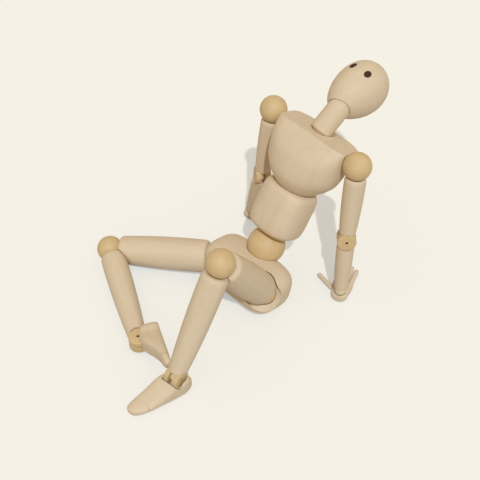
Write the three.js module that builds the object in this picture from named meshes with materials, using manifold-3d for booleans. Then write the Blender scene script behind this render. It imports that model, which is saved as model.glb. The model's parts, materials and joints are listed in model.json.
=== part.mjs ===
// Wooden artist's mannequin, seated on the floor and leaning back on both hands.
// Millimetres, Z up. X is the figure's left, the figure faces -Y.
import * as THREE from 'three';
import { mergeVertices } from 'three/addons/utils/BufferGeometryUtils.js';
import Module from 'manifold-3d';

const wasm = await Module();
wasm.setup();

// Fits shared by every joint
const clearance = 0.3;
const cordRadius = 0.9;
const boreRadius = cordRadius + clearance;
const boreDepth = 9;

// Balls
const limbBallRadius = 7.5;
const waistBallRadius = 10.7;

// Trunk
const hipHeight = 13.6;
const hipHalfSpacing = 17.2;
const hipsLeft = 1.2;
const hipsAhead = 1.2;
const pelvisHalfWidth = 28;
const pelvisHalfDepth = 14;
const pelvisHalfHeight = 12.8;
const pelvisLean = 15;
const waistBack = 14;
const waistRise = 15.9;
const abdomenHalfWidth = 14.8;
const abdomenHalfDepth = 12.5;
const abdomenBottom = 8.6;
const abdomenTop = 35.5;
const chestBottom = 31.5;
const chestDomeRadius = 19.5;
const chestHalfWidth = 22.8;
const chestHalfDepth = 15.6;
const chestTop = 72.4;
const shoulderHalfSpacing = 30;
const shoulderForward = 4.2;
const shoulderRise = 68.5;

// Neck and head
const neckRise = 70.6;
const neckRadius = 6.15;
const neckBaseRadius = 8;
const neckTopRise = 15.4;
const headLength = 38.6;
const headWidth = 27;
const headDepth = 28.5;
const eyeHalfSpacing = 4.95;
const eyeHalfWidth = 1.75;
const eyeHalfHeight = 2.3;

// Arms
const upperArmLength = 45.4;
const upperArmTopRadius = 5.7;
const upperArmEndRadius = 4.5;
const forearmLength = 35.4;
const forearmTopRadius = 4.8;
const forearmEndRadius = 3.7;
const wristDomeRadius = 3.4;
const palmLength = 9.6;
const palmHalfWidth = 5.9;
const palmThickness = 5.4;
const fingerRadius = 1.4;

// Legs
const thighLength = 65.6;
const thighTopRadius = 9.3;
const thighMidRadius = 9.5;
const thighEndRadius = 8.1;
const shinLength = 67.2;
const shinTopRadius = 7.1;
const shinEndRadius = 5;
const footAhead = 25.8;
const footBehind = 6.9;
const footHalfWidth = 6.6;
const ankleHeight = 12.2;
const toeIn = 20;
const soleTrim = 0.45;

// Drum hinges of elbows and ankles
const drumRadius = 5.2;
const drumHalfLength = 4.2;
const slotHalfWidth = 1.3;
const tongueHalfWidth = 1;
const tongueRadius = 3.1;
const slotDepth = 3.5;
const stemRadius = 2.1;
const stemDepth = 12;
const pinRadius = 0.6;
const pinHole = 0.8;

// How far a limb's cup stands off the centre of its ball, as a share of the ball
const cupShare = 0.86;
const rimRound = 2.4;

// The pose: directions in the frame above, and single turns in degrees
const torsoUp = new THREE.Vector3(0.03, 0.523, 0.852);
const torsoLeft = new THREE.Vector3(0.998, -0.05, -0.04);
const neckUp = new THREE.Vector3(0.13, 0.75, 0.65);
const headUp = new THREE.Vector3(0.04, 0.999, 0);
const headLeft = new THREE.Vector3(0.999, -0.04, 0.0);
const headAt = new THREE.Vector3(-2.25, 18.65, 1.95);
const armDown = {
  left: new THREE.Vector3(0.109, -0.181, -0.977),
  right: new THREE.Vector3(-0.02, -0.15, -0.9885),
};
const elbowPin = {
  left: new THREE.Vector3(0.66, -0.74, 0.12),
  right: new THREE.Vector3(-0.611, -0.765, 0.202),
};
const elbowBend = { left: 1.5, right: -16 };
const thumbSpread = { left: 53, right: 40 };
const handAhead = {
  left: new THREE.Vector3(-0.44, 0.898, 0),
  right: new THREE.Vector3(-0.25, 0.97, 0),
};
// Where the feet rest, seen from each hip, and which way the knees point: each leg folds to reach its ankle
const ankleAt = {
  left: new THREE.Vector3(4.992419966, -70.480953491, -1.506528638),
  right: new THREE.Vector3(5.915758614, -67.11702053, -7.641749995),
};
const kneeOut = {
  left: new THREE.Vector3(0.0426, -0.5322, 0.8455),
  right: new THREE.Vector3(-0.8235, -0.56, -0.095),
};
const footUp = {
  left: new THREE.Vector3(0, 0, 1),
  right: new THREE.Vector3(-0.471, -0.882, 0),
};
const rightAnklePin = new THREE.Vector3(0, 0, 1);
const leftFootTurn = 6;
const hipSocketOut = new THREE.Vector3(0.5, -0.86, 0.11);
const swingBeyond = 12 * Math.PI / 180;

const paleWood = new THREE.MeshStandardMaterial({ color: 0xdcc6a2, roughness: 0.6 });
const tanWood = new THREE.MeshStandardMaterial({ color: 0xcfae7c, roughness: 0.6 });
const darkWood = new THREE.MeshStandardMaterial({ color: 0x46301f, roughness: 0.55 });
const steel = new THREE.MeshStandardMaterial({ color: 0x9c9a94, metalness: 0.9, roughness: 0.4 });
const elastic = new THREE.MeshStandardMaterial({ color: 0xe6e0d4, roughness: 0.9 });

const radians = (degrees) => degrees * Math.PI / 180;
const vec = (x, y, z) => new THREE.Vector3(x, y, z);

// A placing frame with its Z along one direction and its X as near as can be to another
function frameAt(origin, alongZ, nearX) {
  const z = alongZ.clone().normalize();
  const x = nearX.clone().addScaledVector(z, -nearX.dot(z)).normalize();
  const y = z.clone().cross(x);
  return new THREE.Matrix4().makeBasis(x, y, z).setPosition(origin);
}

const axisOf = (frame, column) => new THREE.Vector3().setFromMatrixColumn(frame, column);
const pointIn = (frame, x, y, z) => vec(x, y, z).applyMatrix4(frame);

// A welded, outward facing solid made from any closed geometry
function solidFrom(geometry, frame) {
  const copy = geometry.clone();
  if (frame) {
    copy.applyMatrix4(frame);
  }
  copy.deleteAttribute('normal');
  copy.deleteAttribute('uv');
  const welded = mergeVertices(copy, 1e-4);
  const position = welded.attributes.position;
  const index = welded.index;
  const corners = [];
  let volume = 0;
  for (let i = 0; i < index.count; i += 3) {
    const [a, b, c] = [index.getX(i), index.getX(i + 1), index.getX(i + 2)];
    if (a !== b && b !== c && c !== a) {
      corners.push(a, b, c);
      const pa = vec().fromBufferAttribute(position, a);
      const pb = vec().fromBufferAttribute(position, b);
      const pc = vec().fromBufferAttribute(position, c);
      volume += pa.dot(pb.cross(pc));
    }
  }
  if (volume < 0) {
    for (let i = 0; i < corners.length; i += 3) {
      [corners[i], corners[i + 1]] = [corners[i + 1], corners[i]];
    }
  }
  return new wasm.Manifold(new wasm.Mesh({
    numProp: 3,
    vertProperties: Float32Array.from(position.array),
    triVerts: Uint32Array.from(corners),
  }));
}

// Points of an arc in a turned profile, as radius and height, angles in degrees from the waist
function arcPoints(centreHeight, radius, from, to, steps) {
  const points = [];
  for (let i = 0; i <= steps; i += 1) {
    const angle = radians(from + (to - from) * i / steps);
    points.push([Math.max(0, radius * Math.cos(angle)), centreHeight + radius * Math.sin(angle)]);
  }
  return points;
}

// Points of a rounded rim between an end plane and an outer radius
function rimPoints(endHeight, outerRadius, acrossRound, alongRound, steps) {
  const points = [];
  for (let i = 0; i <= steps; i += 1) {
    const angle = radians(90 * i / steps);
    points.push([
      outerRadius - acrossRound + acrossRound * Math.sin(angle),
      endHeight + alongRound - alongRound * Math.cos(angle),
    ]);
  }
  return points;
}

const flipped = (points, length) => points.map(([r, z]) => [r, length - z]).reverse();

function turned(profile, segments, frame) {
  const outline = profile.map(([r, z]) => new THREE.Vector2(r, z));
  const geometry = new THREE.LatheGeometry(outline, segments);
  geometry.rotateX(Math.PI / 2);
  return solidFrom(geometry, frame);
}

function rod(frame, radius, from, to, segments) {
  return turned([[0, from], [radius, from], [radius, to], [0, to]], segments, frame);
}

function ball(centre, radius, across, high) {
  const geometry = new THREE.SphereGeometry(radius, across, high);
  geometry.translate(centre.x, centre.y, centre.z);
  return solidFrom(geometry);
}

function block(frame, low, high) {
  const size = vec(...high).sub(vec(...low));
  const middle = vec(...high).add(vec(...low)).multiplyScalar(0.5);
  const geometry = new THREE.BoxGeometry(size.x, size.y, size.z);
  geometry.translate(middle.x, middle.y, middle.z);
  return solidFrom(geometry, frame);
}

// A skin through stacked rounded sections: height, centre x and y, half sizes and squareness
function lofted(sections, count, frame) {
  const positions = [];
  const index = [];
  for (const [z, cx, cy, a, b, n] of sections) {
    for (let i = 0; i < count; i += 1) {
      const angle = 2 * Math.PI * i / count;
      const c = Math.cos(angle);
      const s = Math.sin(angle);
      positions.push(
        cx + a * Math.sign(c) * Math.abs(c) ** (2 / n),
        cy + b * Math.sign(s) * Math.abs(s) ** (2 / n),
        z,
      );
    }
  }
  for (let j = 0; j < sections.length - 1; j += 1) {
    for (let i = 0; i < count; i += 1) {
      const a = j * count + i;
      const b = j * count + (i + 1) % count;
      index.push(a, b, b + count, a, b + count, a + count);
    }
  }
  const last = (sections.length - 1) * count;
  const bottom = positions.length / 3;
  positions.push(sections[0][1], sections[0][2], sections[0][0]);
  const end = sections[sections.length - 1];
  positions.push(end[1], end[2], end[0]);
  for (let i = 0; i < count; i += 1) {
    index.push(bottom, (i + 1) % count, i);
    index.push(bottom + 1, last + i, last + (i + 1) % count);
  }
  const geometry = new THREE.BufferGeometry();
  geometry.setAttribute('position', new THREE.Float32BufferAttribute(positions, 3));
  geometry.setIndex(index);
  return solidFrom(geometry, frame);
}

// A cord's run: straight, then one bend, then straight again
function bentRun(start, bendStart, corner, bendEnd, end) {
  const run = new THREE.CurvePath();
  run.add(new THREE.LineCurve3(start, bendStart));
  run.add(new THREE.QuadraticBezierCurve3(bendStart, corner, bendEnd));
  run.add(new THREE.LineCurve3(bendEnd, end));
  return run;
}

function strung(run, radius, steps) {
  const corners = [];
  for (let i = 0; i < 6; i += 1) {
    const angle = 2 * Math.PI * i / 6;
    corners.push(new THREE.Vector2(radius * Math.cos(angle), radius * Math.sin(angle)));
  }
  const section = new THREE.Shape(corners);
  return solidFrom(new THREE.ExtrudeGeometry(section, { steps, extrudePath: run }));
}

const figure = new THREE.Group();
figure.name = 'artist_mannequin';
const groups = {};
for (const name of ['trunk', 'head_and_neck', 'left_arm', 'right_arm', 'left_leg', 'right_leg']) {
  groups[name] = new THREE.Group();
  groups[name].name = name;
  figure.add(groups[name]);
}

function addPiece(groupName, name, solid, material) {
  const source = solid.getMesh();
  const geometry = new THREE.BufferGeometry();
  geometry.setAttribute('position', new THREE.BufferAttribute(Float32Array.from(source.vertProperties), 3));
  geometry.setIndex(Array.from(source.triVerts));
  geometry.computeVertexNormals();
  const mesh = new THREE.Mesh(geometry, material);
  mesh.name = name;
  groups[groupName].add(mesh);
}

// Frames of the trunk
const hipMiddle = vec(hipsLeft, -hipsAhead, hipHeight);
const pelvisFrame = new THREE.Matrix4().makeRotationX(radians(-pelvisLean)).setPosition(hipMiddle);
const waistCentre = pointIn(pelvisFrame, 1.8, waistBack, waistRise);
const torsoFrame = frameAt(waistCentre, torsoUp, torsoLeft);
const torsoAxis = axisOf(torsoFrame, 2);
const domeRise = chestBottom + chestDomeRadius;
const domeCentre = pointIn(torsoFrame, 0, 0, domeRise);
const sides = { left: 1, right: -1 };
const shoulder = {};
const hip = {};
const thighOut = {};
const shinOut = {};
for (const [side, sign] of Object.entries(sides)) {
  shoulder[side] = pointIn(torsoFrame, sign * shoulderHalfSpacing, -shoulderForward, shoulderRise);
  hip[side] = pointIn(pelvisFrame, sign * hipHalfSpacing, 0, 0);
  const straight = ankleAt[side].clone().normalize();
  const span = ankleAt[side].length();
  const along = (thighLength ** 2 - shinLength ** 2 + span ** 2) / (2 * span);
  const aside = kneeOut[side].clone().addScaledVector(straight, -kneeOut[side].dot(straight)).normalize();
  const knee = straight.multiplyScalar(along).addScaledVector(aside, Math.sqrt(thighLength ** 2 - along ** 2));
  thighOut[side] = knee.clone().normalize();
  shinOut[side] = ankleAt[side].clone().sub(knee).normalize();
}

// Neck frame: its origin is the foot of the neck, on the chest's top
const neckFrame = frameAt(pointIn(torsoFrame, -0.4, -1, neckRise), neckUp, torsoLeft);
const neckBase = pointIn(neckFrame, 0, 0, neckBaseRadius - 1);
const neckTop = pointIn(neckFrame, 0, 0, neckTopRise);
const headCentre = headAt.clone().add(neckTop);
const headFrame = frameAt(headCentre, headUp, headLeft);

// Cord runs of the trunk
const waistRun = new THREE.LineCurve3(
  waistCentre.clone().addScaledVector(torsoAxis, -waistBallRadius - 7),
  waistCentre.clone().addScaledVector(torsoAxis, chestBottom + 9),
);
const neckAxis = axisOf(neckFrame, 2);
const neckRun = new THREE.LineCurve3(
  neckBase.clone().addScaledVector(neckAxis, -neckBaseRadius - 7),
  neckTop.clone().addScaledVector(neckAxis, neckRadius + 7),
);

// A direction as the other side of the pelvis has it
const mirrored = (way) => {
  const local = way.clone().transformDirection(pelvisFrame.clone().invert());
  return vec(-local.x, local.y, local.z).transformDirection(pelvisFrame);
};

const hipRun = (side, trim) => {
  const up = thighOut[side].clone().normalize();
  const inward = vec(-hipSocketOut.x * sides[side], -hipSocketOut.y, -hipSocketOut.z).transformDirection(pelvisFrame);
  return bentRun(
    hip[side].clone().addScaledVector(up, limbBallRadius + boreDepth - trim),
    hip[side].clone().addScaledVector(up, limbBallRadius * 0.8),
    hip[side],
    hip[side].clone().addScaledVector(inward, limbBallRadius * 0.8),
    hip[side].clone().addScaledVector(inward, limbBallRadius + 6 - trim),
  );
};

// Pelvis: a rounded block with a dish for the waist ball and a swing-wide hollow at each hip
{
  const widthShares = [-1, -0.975, -0.9, -0.74, -0.45, 0, 0.45, 0.74, 0.9, 0.975, 1];
  const bodyShares = [0.3, 0.52, 0.76, 0.93, 1, 1, 1, 0.93, 0.76, 0.52, 0.3];
  const sections = widthShares.map((share, i) => [
    share * pelvisHalfWidth, 3.6, 0.4, pelvisHalfDepth * bodyShares[i], pelvisHalfHeight * bodyShares[i], 3,
  ]);
  const crosswise = new THREE.Matrix4().makeBasis(vec(0, 1, 0), vec(0, 0, 1), vec(1, 0, 0));
  let pelvis = lofted(sections, 22, pelvisFrame.clone().multiply(crosswise));
  pelvis = pelvis.subtract(ball(waistCentre, waistBallRadius + clearance, 20, 14));
  for (const side of Object.keys(sides)) {
    const [from, to] = [thighOut[side], mirrored(thighOut[side === 'left' ? 'right' : 'left'])];
    const about = from.clone().cross(to).normalize();
    const ends = [from.clone().applyAxisAngle(about, -swingBeyond), to.clone().applyAxisAngle(about, swingBeyond)];
    const swing = ends.map((way) => turned([
      [0, limbBallRadius * cupShare - 0.5],
      [thighTopRadius + 0.6, limbBallRadius * cupShare - 0.5],
      [thighTopRadius + 0.6, thighLength],
      [0, thighLength],
    ], 16, frameAt(hip[side], way, axisOf(pelvisFrame, 0))));
    pelvis = pelvis.subtract(wasm.Manifold.hull(swing));
    pelvis = pelvis.subtract(ball(hip[side], limbBallRadius + clearance, 16, 12));
    pelvis = pelvis.subtract(strung(hipRun(side, 0), boreRadius, 8));
  }
  pelvis = pelvis.subtract(strung(waistRun, boreRadius, 2));
  addPiece('trunk', 'pelvis', pelvis, paleWood);
}

// Waist ball
addPiece('trunk', 'waist_ball',
  ball(waistCentre, waistBallRadius, 20, 12).subtract(strung(waistRun, boreRadius, 2)), tanWood);

// Abdomen: a rounded block cupped at both ends
{
  const low = abdomenBottom;
  const high = abdomenTop;
  const rise = high - low;
  const w = abdomenHalfWidth;
  const d = abdomenHalfDepth;
  const sections = [
    [low, 0, 0, w - 3, d - 3, 2.6],
    [low + 0.035 * rise, 0, 0, w - 1.5, d - 1.5, 2.7],
    [low + 0.13 * rise, 0, 0, w - 0.4, d - 0.4, 2.8],
    [low + 0.35 * rise, 0, 0, w, d, 2.9],
    [low + 0.65 * rise, 0, 0, w, d, 2.9],
    [low + 0.88 * rise, 0, 0, w - 0.4, d - 0.4, 2.8],
    [low + 0.97 * rise, 0, 0, w - 1.3, d - 1.3, 2.7],
    [high, 0, 0, w - 2.4, d - 2.4, 2.6],
  ];
  let abdomen = lofted(sections, 20, torsoFrame);
  abdomen = abdomen.subtract(ball(waistCentre, waistBallRadius + clearance, 20, 14));
  abdomen = abdomen.subtract(ball(domeCentre, chestDomeRadius + clearance, 24, 18));
  abdomen = abdomen.subtract(strung(waistRun, boreRadius, 2));
  addPiece('trunk', 'abdomen', abdomen, paleWood);
}

// Chest: an egg with a round underside, a flat top and a cup for each shoulder ball
{
  const dome = (z) => Math.sqrt(Math.max(0, chestDomeRadius ** 2 - (domeRise - z) ** 2));
  const w = chestHalfWidth;
  const d = chestHalfDepth;
  const rise = chestTop - chestBottom;
  const at = (share) => chestBottom + share * rise;
  const sections = [
    [at(0.004), 0, 0, dome(at(0.004)), dome(at(0.004)), 2],
    [at(0.03), 0, 0, dome(at(0.03)), dome(at(0.03)), 2],
    [at(0.085), 0, 0, dome(at(0.085)), dome(at(0.085)), 2],
    [at(0.17), 0, 0, dome(at(0.17)), dome(at(0.17)) - 0.2, 2],
    [at(0.28), 0, 0.2, dome(at(0.28)) + 0.3, Math.min(d, dome(at(0.28)) - 1.4), 2.05],
    [at(0.43), 0, 0.6, w - 1.4, d, 2.15],
    [at(0.6), 0, 0.6, w - 0.1, d - 0.3, 2.3],
    [at(0.78), 0, 0.2, w + 0.2, d - 1.8, 2.8],
    [at(0.9), 0, -0.3, w + 0.3, d - 3.4, 3.2],
    [at(0.965), 0, -0.5, w + 0.1, d - 4.8, 3.5],
    [at(0.99), 0, -0.5, w - 0.7, d - 5.6, 3.6],
    [at(1), 0, -0.5, w - 1.8, d - 6.8, 3.6],
  ];
  let chest = lofted(sections, 24, torsoFrame);
  for (const side of Object.keys(sides)) {
    chest = chest.subtract(ball(shoulder[side], limbBallRadius + clearance, 18, 12));
    const inward = frameAt(shoulder[side], axisOf(torsoFrame, 0).multiplyScalar(-sides[side]), torsoAxis);
    chest = chest.subtract(rod(inward, boreRadius, 0, limbBallRadius + boreDepth, 10));
  }
  chest = chest.subtract(ball(neckBase, neckBaseRadius + clearance, 16, 12));
  chest = chest.subtract(strung(waistRun, boreRadius, 2));
  chest = chest.subtract(strung(neckRun, boreRadius, 2));
  addPiece('trunk', 'chest', chest, paleWood);
}
addPiece('trunk', 'waist_cord', strung(
  new THREE.LineCurve3(waistRun.v1.clone().addScaledVector(torsoAxis, 0.4),
    waistRun.v2.clone().addScaledVector(torsoAxis, -0.4)), cordRadius, 2), elastic);

// Neck: a turned drum with a domed foot and a round top
{
  const baseCentre = neckBaseRadius - 1;
  const edge = neckRadius - 0.7;
  const edgeAngle = -Math.acos(edge / neckBaseRadius) * 180 / Math.PI;
  const profile = [
    ...arcPoints(baseCentre, neckBaseRadius, -90, edgeAngle, 4),
    [neckRadius, baseCentre + neckBaseRadius * Math.sin(radians(edgeAngle)) + 0.8],
    ...arcPoints(neckTopRise, neckRadius, 0, 90, 5),
  ];
  const neck = turned(profile, 16, neckFrame).subtract(strung(neckRun, boreRadius, 2));
  addPiece('head_and_neck', 'neck', neck, paleWood);
  const cordRun = new THREE.LineCurve3(
    neckBase.clone().addScaledVector(neckAxis, -neckBaseRadius - 6.6),
    neckTop.clone().addScaledVector(neckAxis, neckRadius + 6.6),
  );
  addPiece('head_and_neck', 'neck_cord', strung(cordRun, cordRadius, 2), elastic);
}

// Head: an egg, wide at the crown, with two inlaid oval eyes
{
  const half = headLength / 2;
  const profile = [];
  const steps = 14;
  for (let i = 0; i <= steps; i += 1) {
    const angle = Math.PI * i / steps;
    const height = -half * Math.cos(angle);
    const lean = 1 + 0.16 * height / half;
    profile.push([Math.max(0, (headWidth / 2) * 1.006 * Math.sin(angle) * lean / 1.013), height]);
  }
  profile[0][0] = 0;
  profile[steps][0] = 0;
  const squash = new THREE.Matrix4().makeScale(1, headDepth / headWidth, 1);
  let head = turned(profile, 22, headFrame.clone().multiply(squash));
  head = head.subtract(ball(neckTop, neckRadius + clearance, 16, 12));
  head = head.subtract(rod(neckFrame, neckRadius + clearance, 0, neckTopRise, 16));
  head = head.subtract(strung(neckRun, boreRadius, 2));
  const eyeHeight = 0.02 * headLength;
  const widthAt = (headWidth / 2) * Math.sin(Math.acos(-eyeHeight / half));
  const faceDepth = (headDepth / 2) * Math.sqrt(1 - (eyeHalfSpacing / widthAt) ** 2) * (widthAt / (headWidth / 2));
  for (const [side, sign] of Object.entries(sides)) {
    const centre = vec(sign * eyeHalfSpacing, -faceDepth * 0.985, eyeHeight);
    const slope = sign * Math.atan2(eyeHalfSpacing * headDepth ** 2, faceDepth * headWidth ** 2);
    const eyeFrame = headFrame.clone()
      .multiply(new THREE.Matrix4().makeTranslation(centre.x, centre.y, centre.z))
      .multiply(new THREE.Matrix4().makeRotationZ(slope));
    const oval = (extra) => {
      const geometry = new THREE.SphereGeometry(1, 10, 6);
      geometry.scale(eyeHalfWidth + extra, 0.75 + extra, eyeHalfHeight + extra);
      return solidFrom(geometry, eyeFrame);
    };
    head = head.subtract(oval(0.15));
    addPiece('head_and_neck', 'eye_' + side, oval(0), darkWood);
  }
  addPiece('head_and_neck', 'head', head, paleWood);
}

// The cup at the ball end of a limb: bore, cup, rim and rounded edge, from the ball's centre out
function cupPoints(outerRadius) {
  const cup = limbBallRadius + clearance;
  const end = limbBallRadius * cupShare;
  const mouth = Math.sqrt(cup ** 2 - end ** 2);
  const points = [];
  for (let i = 0; i <= 3; i += 1) {
    const r = boreRadius + (mouth - boreRadius) * i / 3;
    points.push([r, Math.sqrt(cup ** 2 - r ** 2)]);
  }
  const across = Math.min(rimRound, outerRadius - mouth - 0.25);
  return [...points, ...rimPoints(end, outerRadius, across, rimRound, 4)];
}

// The slotted drum that a limb ends in: it turns on nothing itself, its stem is glued in the limb
function drumSolid(frame) {
  const round = 0.5;
  const outline = [
    [0, -drumHalfLength],
    [drumRadius - round, -drumHalfLength],
    [drumRadius, -drumHalfLength + round],
    [drumRadius, drumHalfLength - round],
    [drumRadius - round, drumHalfLength],
    [0, drumHalfLength],
  ];
  const pinFrame = frame.clone().multiply(new THREE.Matrix4().makeRotationY(Math.PI / 2));
  const wide = drumRadius + 1;
  return turned(outline, 18, pinFrame)
    .add(rod(frame, stemRadius, -stemDepth, -slotDepth - 0.3, 10))
    .subtract(block(frame, [-slotHalfWidth, -wide, -slotDepth], [slotHalfWidth, wide, wide]))
    .subtract(rod(pinFrame, pinHole, -drumHalfLength - 1, drumHalfLength + 1, 8));
}

function pinSolid(frame) {
  const pinFrame = frame.clone().multiply(new THREE.Matrix4().makeRotationY(Math.PI / 2));
  return rod(pinFrame, pinRadius, -drumHalfLength + 0.1, drumHalfLength - 0.1, 8);
}

function saddle(frame) {
  const pinFrame = frame.clone().multiply(new THREE.Matrix4().makeRotationY(Math.PI / 2));
  return rod(pinFrame, drumRadius + clearance, -14, 14, 20);
}

// The flat tongue that works in a drum's slot, running out along +Z to a given reach
function tongueSolid(frame, reach) {
  const pinFrame = frame.clone().multiply(new THREE.Matrix4().makeRotationY(Math.PI / 2));
  const half = tongueRadius * 0.78;
  return rod(pinFrame, tongueRadius, -tongueHalfWidth, tongueHalfWidth, 14)
    .add(block(frame, [-tongueHalfWidth, -half, 0], [tongueHalfWidth, half, reach]))
    .subtract(rod(pinFrame, pinHole, -3, 3, 8));
}

// Distance from a drum's axis at which a limb of a given radius ends
const drumEnd = (radius) => Math.sqrt((drumRadius + clearance) ** 2 - (radius - 0.3) ** 2) + 0.05;

for (const [side, sign] of Object.entries(sides)) {
  const arm = side + '_arm';
  const leg = side + '_leg';

  // Shoulder ball, strung from the chest into the upper arm
  const inward = axisOf(torsoFrame, 0).multiplyScalar(-sign);
  const along = armDown[side].clone().normalize();
  const reach = limbBallRadius + boreDepth;
  const shoulderRun = (trim) => bentRun(
    shoulder[side].clone().addScaledVector(inward, reach - trim),
    shoulder[side].clone().addScaledVector(inward, limbBallRadius * 0.8),
    shoulder[side],
    shoulder[side].clone().addScaledVector(along, limbBallRadius * 0.8),
    shoulder[side].clone().addScaledVector(along, reach - trim),
  );
  addPiece(arm, side + '_shoulder_ball',
    ball(shoulder[side], limbBallRadius, 16, 10).subtract(strung(shoulderRun(0), boreRadius, 8)), tanWood);
  addPiece(arm, side + '_shoulder_cord', strung(shoulderRun(0.4), cordRadius, 8), elastic);

  // Upper arm with its drum
  const armFrame = frameAt(shoulder[side], along, elbowPin[side]);
  const armEnd = upperArmLength - drumEnd(upperArmEndRadius);
  const armProfile = [
    [0, reach],
    [boreRadius, reach],
    ...cupPoints(upperArmTopRadius),
    [upperArmTopRadius, upperArmLength * 0.4],
    ...flipped(rimPoints(upperArmLength - armEnd, upperArmEndRadius, 0.3, 0.5, 1), upperArmLength),
    [stemRadius + clearance, armEnd],
    [stemRadius + clearance, upperArmLength - stemDepth - clearance],
    [0, upperArmLength - stemDepth - clearance],
  ];
  const elbow = pointIn(armFrame, 0, 0, upperArmLength);
  const elbowFrame = frameAt(elbow, along, elbowPin[side]);
  addPiece(arm, side + '_upper_arm', turned(armProfile, 16, armFrame).subtract(saddle(elbowFrame)), paleWood);
  addPiece(arm, side + '_elbow_drum', drumSolid(elbowFrame), tanWood);
  addPiece(arm, side + '_elbow_pin', pinSolid(elbowFrame), steel);

  // Forearm: tongue at the elbow, small dome at the wrist
  const down = along.clone().applyAxisAngle(axisOf(elbowFrame, 0), radians(elbowBend[side]));
  const forearmFrame = frameAt(elbow, down, axisOf(elbowFrame, 0));
  const forearmStart = drumEnd(forearmTopRadius);
  const domeJoin = Math.sqrt(Math.max(0, wristDomeRadius ** 2 - (wristDomeRadius - 0.35) ** 2));
  const forearmProfile = [
    [0, forearmStart],
    ...rimPoints(forearmStart, forearmTopRadius, 0.3, 0.5, 1),
    [forearmTopRadius, forearmLength * 0.45],
    ...flipped(rimPoints(domeJoin + 0.2, forearmEndRadius, 0.35, 1, 2), forearmLength),
    ...arcPoints(forearmLength, wristDomeRadius, -24, 80, 5),
    [boreRadius, forearmLength + Math.sqrt(wristDomeRadius ** 2 - boreRadius ** 2)],
    [boreRadius, forearmLength - boreDepth],
    [0, forearmLength - boreDepth],
  ].filter(([r, z], i, all) => i < 3 || r >= boreRadius - 1e-6 || i === all.length - 1);
  addPiece(arm, side + '_forearm',
    turned(forearmProfile, 14, forearmFrame)
      .subtract(saddle(forearmFrame))
      .add(tongueSolid(forearmFrame, forearmStart + 3)), paleWood);

  // Palm: flat on the floor, cupped on top for the wrist
  const wrist = pointIn(forearmFrame, 0, 0, forearmLength);
  const ahead = handAhead[side].clone().normalize();
  const handFrame = frameAt(wrist, vec(0, 0, 1), ahead.clone().cross(vec(0, 0, 1)).negate());
  const forwards = new THREE.Matrix4().makeBasis(vec(1, 0, 0), vec(0, 0, 1), vec(0, -1, 0));
  const palmTop = -wristDomeRadius * 0.36;
  const palmBottom = palmTop - palmThickness;
  const slab = (share, half, thick, n) => [
    share * palmLength, 0, palmBottom + thick / 2, half, thick / 2, n,
  ];
  const palmSections = [
    slab(-0.36, palmHalfWidth * 0.42, palmThickness * 0.6, 2.2),
    slab(-0.32, palmHalfWidth * 0.62, palmThickness * 0.85, 2.4),
    slab(-0.18, palmHalfWidth * 0.76, palmThickness, 2.6),
    slab(0.12, palmHalfWidth * 0.84, palmThickness, 2.7),
    slab(0.55, palmHalfWidth * 0.98, palmThickness * 0.76, 2.8),
    slab(0.9, palmHalfWidth, palmThickness * 0.62, 2.8),
    slab(1, palmHalfWidth * 0.95, palmThickness * 0.52, 2.6),
  ];
  let palm = lofted(palmSections, 14, handFrame.clone().multiply(forwards));
  palm = palm.subtract(ball(wrist, wristDomeRadius + clearance, 12, 8));
  const wristRun = new THREE.LineCurve3(
    wrist.clone().addScaledVector(down, -boreDepth + 0.4),
    wrist.clone().addScaledVector(down, wristDomeRadius + 1.9),
  );
  palm = palm.subtract(rod(forearmFrame, boreRadius, forearmLength, forearmLength + wristDomeRadius + 2.2, 10));
  addPiece(arm, side + '_wrist_cord', strung(wristRun, cordRadius, 2), elastic);

  // Fingers and thumb: each turned in one piece with two knuckle grooves and a ball foot
  const knuckle = palmBottom + fingerRadius + 0.02;
  const fingers = [
    ['index', -0.72, 1.0, 6, 12.2],
    ['middle', -0.24, 1.035, 2, 13.4],
    ['ring', 0.24, 1.03, -3, 12.6],
    ['little', 0.72, 0.985, -6, 11.2],
    ['thumb', -1.03 - 0.005 * Math.max(0, 42 - thumbSpread[side]), 0.4, thumbSpread[side], 12],
  ];
  for (const [name, shift, forth, spread, length] of fingers) {
    const foot = pointIn(handFrame, -sign * shift * palmHalfWidth * 0.98, -forth * palmLength - 0.35, knuckle);
    const turn = radians(sign * spread);
    const out = vec(Math.sin(turn), -Math.cos(turn), 0).transformDirection(handFrame);
    const fingerFrame = frameAt(foot, out, vec(0, 0, 1));
    const groove = (z) => [[fingerRadius * 0.97, z - 0.35], [fingerRadius * 0.8, z], [fingerRadius * 0.97, z + 0.35]];
    const profile = [
      ...arcPoints(0, fingerRadius, -90, 0, 2),
      ...groove(length * 0.42),
      ...groove(length * 0.7),
      ...arcPoints(length - fingerRadius * 0.9, fingerRadius * 0.9, 0, 90, 2),
    ];
    palm = palm.subtract(ball(foot, fingerRadius + 0.25, 8, 6));
    addPiece(arm, side + '_' + name + (name === 'thumb' ? '' : '_finger'), turned(profile, 8, fingerFrame), paleWood);
  }
  addPiece(arm, side + '_palm', palm, paleWood);

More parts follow.
